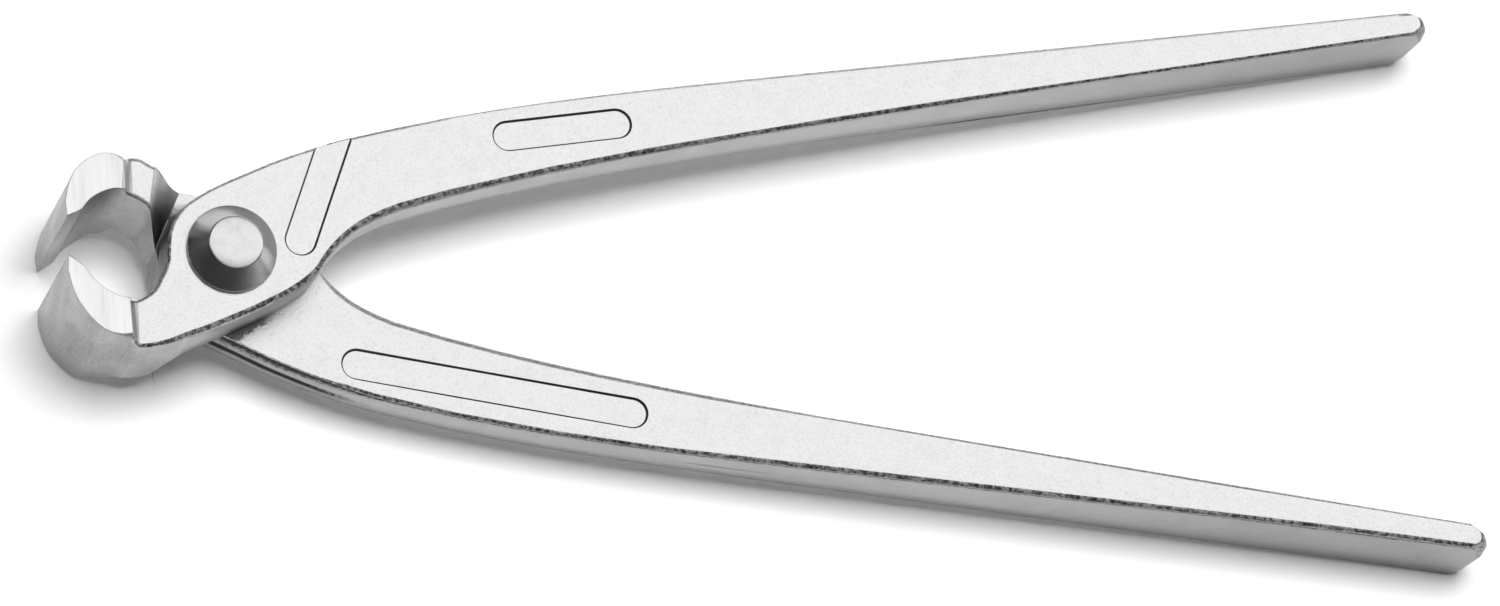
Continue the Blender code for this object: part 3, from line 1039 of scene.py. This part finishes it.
@dataclass(kw_only=True)
class Lever(Piece):
    """One forged lever: a dressed copy of its CAD solid.

    Its jaw lies towards +Y where jaw_side is 1, and towards -Y where it is -1. The places along X
    end the kinds of surface in turn. A lean is the upright share of a face's normal, and a facing
    its share along X or Y, or towards the rivet's axis.
    """

    finishes: LeverFinishes
    jaw_side: int
    tip: HandleTip
    recesses: Recesses = field(default_factory=Recesses)
    slot: str = "forged_chrome"
    sharp_angle: float = math.radians(35)
    normal_weight: int = 80
    flat_angle: float = math.radians(0.6)
    weld: float = 1e-6
    least_height: float = 1e-6
    edge_radius: float = 0.00011
    edge_angle: float = math.radians(20)
    jaw_end_x: float = SHOULDER_X + 0.0001
    shoulder_end_x: float = SHOULDER_X + 0.0014
    neck_end_x: float = -0.0068
    hollow_end_x: float = -0.0030
    ground_lean: float = 0.8
    edge_lean: float = 0.30
    tip_lean: float = 0.18
    tip_facing: float = 0.25
    far_facing: float = 0.1
    boss_facing: float = -0.5
    hollow_facing: float = 0.3
    lap_reach: float = 0.0004
    hollow_reach: float = -0.0002
    boss_end_y: float = 0.0020

    def build(self, nodes: dict[str, bpy.types.Object]) -> bpy.types.Object:
        """Builds the lever.

        Args:
            nodes: The CAD nodes by name.

        Returns:
            The new object.
        """
        mesh = bmesh.new()
        mesh.from_mesh(nodes[self.node].data)
        bmesh.ops.remove_doubles(mesh, verts=mesh.verts, dist=self.weld)
        bmesh.ops.dissolve_limit(mesh, angle_limit=self.flat_angle, verts=mesh.verts, edges=mesh.edges)
        self.tip.round(mesh)
        self.recesses.round(mesh)
        self._round_edges(mesh)
        self._measure(mesh)
        kinds = list(Surface)
        for face in mesh.faces:
            face.material_index = kinds.index(self._surface(face))
        materials = [self.finishes.finish(surface).material() for surface in kinds]
        return self.show(mesh, self.node + "_dressed", materials)

    def _round_edges(self, mesh: BMesh) -> None:
        """Gives every other clear edge a small radius.

        Args:
            mesh: The mesh.
        """
        clear = [
            edge
            for edge in mesh.edges
            if len(edge.link_faces) == 2
            and edge.calc_face_angle(0.0) > self.edge_angle
            and max(vert.co.x for vert in edge.verts) > self.jaw_end_x
            and not all(self.tip.holds(vert.co) for vert in edge.verts)
            and not self.recesses.near((edge.verts[0].co + edge.verts[1].co) / 2)
        ]
        round_edges(mesh, clear, self.edge_radius)

    def _measure(self, mesh: BMesh) -> None:
        """Stores each vertex's depth below the upper face and its share of the height.

        Args:
            mesh: The mesh.
        """
        mesh.normal_update()
        depth = mesh.verts.layers.float.new(DEPTH)
        share = mesh.verts.layers.float.new(SHARE)
        probe = HeightProbe(BVHTree.FromBMesh(mesh))
        for vert in mesh.verts:
            top, bottom = probe.height(vert, 1), probe.height(vert, -1)
            vert[depth] = max(0.0, top - vert.co.z)
            vert[share] = (vert.co.z - bottom) / max(self.least_height, top - bottom)

    def _surface(self, face: BMFace) -> Surface:
        """Which kind of surface a face belongs to.

        Args:
            face: The face, in the row frame.

        Returns:
            The kind of surface.
        """
        centre = face.calc_center_median()
        lean = abs(face.normal.z)
        if centre.x < self.jaw_end_x:
            return Surface.GROUND if lean > self.ground_lean else Surface.FLANK
        if self.recesses.holds(face):
            return Surface.GROOVE
        if lean > LEVEL:
            return Surface.LAP if abs(centre.z - JOINT_HEIGHT) < self.lap_reach else Surface.FACE
        if centre.x < self.shoulder_end_x:
            return Surface.FILLET if lean > self.edge_lean else Surface.FLANK
        if centre.x < self.hollow_end_x and self._in_hollow(face):
            return Surface.HOLLOW
        if lean > self.tip_lean and self.tip.holds(centre):
            if face.normal.z < 0:
                return Surface.WALL
            # the tip's end takes the darker painted-shade copy of the edge
            if face.normal.x > self.tip_facing:
                return Surface.TIP
        if lean > self.edge_lean:
            # edges facing away from the camera, and the neck's edges of the lever whose jaw lies at +Y, take
            # the lighter painted-light copy
            far = face.normal.y > self.far_facing
            far = far or (centre.x < self.neck_end_x and self.jaw_side > 0)
            return Surface.FAR_EDGE if far else Surface.EDGE
        if centre.x < self.neck_end_x:
            forwards = face.normal.x < self.boss_facing
            on_boss = forwards and centre.y * self.jaw_side < self.boss_end_y
            return Surface.BOSS if on_boss else Surface.FLANK
        return Surface.WALL

    def _in_hollow(self, face: BMFace) -> bool:
        """Tells the hollow's walls from others.

        Args:
            face: The face.

        Returns:
            Whether it bounds the hollow between the neck and the other lever's boss.
        """
        centre = face.calc_center_median()
        height = (centre.z - JOINT_HEIGHT) * self.jaw_side
        inwards = -face.normal.xy.dot(centre.xy) / centre.xy.length
        beside = height > self.hollow_reach and centre.y * self.jaw_side > 0
        return beside and inwards > self.hollow_facing


@dataclass(kw_only=True)
class Rivet(Piece):
    """The rivet, turned from one half profile.

    Heights are above the joint's middle. Each corner's points are offsets outwards and upwards
    from where its two lines would meet.
    """

    node: str = "rivet"
    body: str = "rear"
    slot: str = "turned_chrome"
    sharp_angle: float = math.radians(50)
    normal_weight: int = 90
    steps: int = 96
    weld: float = 1e-7
    shank_radius: float = 0.0045
    seat_height: float = 0.00775
    rim_radius: float = 0.00644
    rim_height: float = 0.00025
    rim_corner: tuple[Pair, ...] = ((-0.00008, 0.00010), (0.0, -0.00002))
    disc_radius: float = 0.00387
    disc_height: float = 0.0110
    disc_corner: tuple[Pair, ...] = ((-0.00022, 0.0), (-0.00006, -0.00005), (0.00008, -0.00018))
    mark_radius: float = 0.00145
    mark_width: float = 0.00030
    mark_depth: float = 0.000015

    def build(self) -> bpy.types.Object:
        """Turns the rivet about its axis.

        Returns:
            The new object.
        """
        mesh = bmesh.new()
        points = [(radius, 0.0, JOINT_HEIGHT + height) for radius, height in self._profile()]
        verts = [mesh.verts.new(point) for point in points]
        edges = [mesh.edges.new(pair) for pair in zip(verts, verts[1:])]
        bmesh.ops.spin(
            mesh, geom=[*verts, *edges], axis=(0, 0, 1), angle=math.tau, steps=self.steps, use_merge=True
        )
        bmesh.ops.remove_doubles(mesh, verts=mesh.verts, dist=self.weld)
        bmesh.ops.recalc_face_normals(mesh, faces=mesh.faces)
        return self.show(mesh, "rivet_turned", [TurnedSteel().material()])

    def _profile(self) -> list[Pair]:
        """Draws half of the profile.

        Returns:
            Radii and heights, from the front disc's middle to the rear disc's.
        """
        rim_top = self.seat_height + self.rim_height
        upper = [
            (0.0, self.disc_height),
            (self.mark_radius - self.mark_width / 2, self.disc_height),
            (self.mark_radius, self.disc_height - self.mark_depth),
            (self.mark_radius + self.mark_width / 2, self.disc_height),
            *((self.disc_radius + out, self.disc_height + up) for out, up in self.disc_corner),
            *((self.rim_radius + out, rim_top + up) for out, up in self.rim_corner),
            (self.rim_radius, self.seat_height),
            (self.shank_radius, self.seat_height),
        ]
        lower = [(radius, -height) for radius, height in reversed(upper)]
        return [*upper, *lower]


@dataclass(frozen=True)
class Tent:
    """A white tent round the tool, bright overhead and dim low down.

    The steps are over the parts of a ray's direction. Less of the tent's light reaches what isn't
    seen in the metal.
    """

    least: float = 0.04
    behind: Rise = Rise(-0.05, 0.22)
    roof_behind: Rise = Rise(0.34, 0.52)
    roof_in_front: Rise = Rise(0.44, 0.84, 0.6)
    roof_slope: float = 1.1
    roof_edge: Rise = Rise(0.0, 0.24)
    roof_level: float = 0.88
    back_level: Rise = Rise(-0.8, 0.2, 0.24)
    side_level: Rise = Rise(0.3, 0.9, 0.12)
    ambient: float = 0.22

    def build(self) -> None:
        """Builds the world, which the camera sees white."""
        world = bpy.data.worlds.new("soft_tent")
        bpy.context.scene.world = world
        world.use_nodes = True
        bench = Bench(world.node_tree)
        camera, mirrored = bench.rays()
        shown = mirrored.held() * (1 - self.ambient) + self.ambient
        strength = camera + (1 - camera) * self._level(bench) * shown
        surface = bench.add("ShaderNodeBackground", {}, {"Color": grey(1.0), "Strength": strength})
        bench.add("ShaderNodeOutputWorld", {}, {"Surface": surface})

    def _level(self, bench: Bench) -> Shade:
        """The tent's brightness in each direction.

        Args:
            bench: The world's bench.

        Returns:
            The brightness.
        """
        x, y, z = bench.split(bench.add("ShaderNodeTexCoord", {}, {}, output="Generated"))
        behind = self.behind.of(y)
        roof = behind * self.roof_behind.of(z) + (1 - behind) * self.roof_in_front.of(z)
        roof = roof * self.roof_edge.of(z - y * self.roof_slope)
        level = self.least + behind * self.back_level.of(x) + self.side_level.of(x)
        return level + roof * self.roof_level


@dataclass
class Studio:
    """The pale floor, the soft light and the camera.

    The camera's height is above the joint. Its turn is in degrees about X, Y and Z. The floor
    touches the jaws and the handles' tips, which two points give.
    """

    camera_place: Triple = (-0.1660126, -0.2538635, 0.7396829)
    camera_turn: Triple = (19.20654, -16.78147, -4.73554)
    lens: float = 134.4
    sensor_width: float = 36.0
    clip: Pair = (0.01, 50.0)
    floor_size: float = 6.0
    floor_shade: float = 0.90
    floor_glow: float = 0.06
    jaw_point: Triple = (-0.0235, 0.0, -0.00135)
    tip_point: Triple = (0.1870, 0.0, 0.0035)
    lamp_place: Triple = (0.08, 0.19, 1.49)
    lamp_target: Triple = (0.08, 0.0, 0.0)
    lamp_size: Pair = (0.8, 0.62)
    lamp_power: float = 25.5

    def build(self) -> None:
        """Builds the studio."""
        self._camera()
        self._floor()
        self._lamp()
        Tent().build()
        bpy.context.scene.view_settings.view_transform = "Standard"

    def _camera(self) -> None:
        """Sets the camera at the photograph's viewing angle."""
        data = bpy.data.cameras.new("photo_camera")
        data.sensor_fit = "HORIZONTAL"
        data.sensor_width = self.sensor_width
        data.lens = self.lens
        data.clip_start, data.clip_end = self.clip
        camera = bpy.data.objects.new("photo_camera", data)
        camera.rotation_euler = [math.radians(degrees) for degrees in self.camera_turn]
        camera.location = Vector(self.camera_place) + Vector((0, 0, JOINT_HEIGHT))
        bpy.context.scene.collection.objects.link(camera)
        bpy.context.scene.camera = camera

    def _floor(self) -> None:
        """Lays a pale floor under the jaws and the handles' tips."""
        run = Vector(self.tip_point) - Vector(self.jaw_point)
        slope = math.atan2(run.z, run.x)
        mesh = bmesh.new()
        bmesh.ops.create_grid(mesh, x_segments=1, y_segments=1, size=self.floor_size / 2)
        tilt = Matrix.Translation(Vector(self.jaw_point)) @ Matrix.Rotation(-slope, 4, "Y")
        bmesh.ops.transform(mesh, matrix=tilt, verts=mesh.verts)
        data = bpy.data.meshes.new("studio_floor")
        mesh.to_mesh(data)
        mesh.free()
        data.materials.append(self._floor_material())
        floor = bpy.data.objects.new("studio_floor", data)
        bpy.context.scene.collection.objects.link(floor)

    def _floor_material(self) -> bpy.types.Material:
        """Makes the floor's finish, with a faint glow for what sees it.

        Returns:
            The material.
        """
        material = bpy.data.materials.new("studio_floor")
        material.use_nodes = True
        bench = Bench(material.node_tree)
        camera, mirrored = bench.rays()
        pale = bench.add("ShaderNodeBsdfDiffuse", {}, {"Color": grey(self.floor_shade)})
        strength = (camera + mirrored).held() * self.floor_glow
        glow = bench.add("ShaderNodeEmission", {}, {"Color": grey(1.0), "Strength": strength})
        both = bench.add("ShaderNodeAddShader", {}, {0: pale, 1: glow})
        bench.add("ShaderNodeOutputMaterial", {}, {"Surface": both})
        return material

    def _lamp(self) -> None:
        """Hangs one large soft lamp behind the tool, which lays its shadow towards the camera."""
        data = bpy.data.lights.new("back_softbox", "AREA")
        data.shape = "RECTANGLE"
        data.size, data.size_y = self.lamp_size
        data.energy = self.lamp_power
        lamp = bpy.data.objects.new("back_softbox", data)
        place = Vector(self.lamp_place)
        aim = Vector(self.lamp_target) - place
        lamp.rotation_euler = aim.to_track_quat("-Z", "Y").to_euler()
        lamp.location = place
        lamp.visible_glossy = False
        bpy.context.scene.collection.objects.link(lamp)


def main() -> None:
    """Builds every piece in order and reports it."""
    logging.basicConfig(level=logging.INFO, format="%(name)s: %(message)s")
    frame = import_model()
    Studio().build()
    LOG.info("studio ready")
    rear_wall = ForgedWall("plated_forged_wall_rear", upper_band_reach=0.0008, root_reach=0.0016)
    front_wall = ForgedWall(
        "plated_forged_wall_front", flash_start_x=0.018, flash_end_x=0.05, flash_shade=0.4, flash_dullness=0.0
    )
    for body, jaw_side, wall in (("rear", 1, rear_wall), ("front", -1, front_wall)):
        lever = Lever(
            node=f"{body}_lever",
            body=body,
            jaw_side=jaw_side,
            tip=HandleTip(-jaw_side * HANDLE_ANGLE),
            finishes=LeverFinishes(wall),
        ).build(frame["nodes"])
        LOG.info("%s: %d faces", lever.name, len(lever.data.polygons))
    rivet = Rivet().build()
    LOG.info("%s: %d faces", rivet.name, len(rivet.data.polygons))


if __name__ == "__main__":
    main()
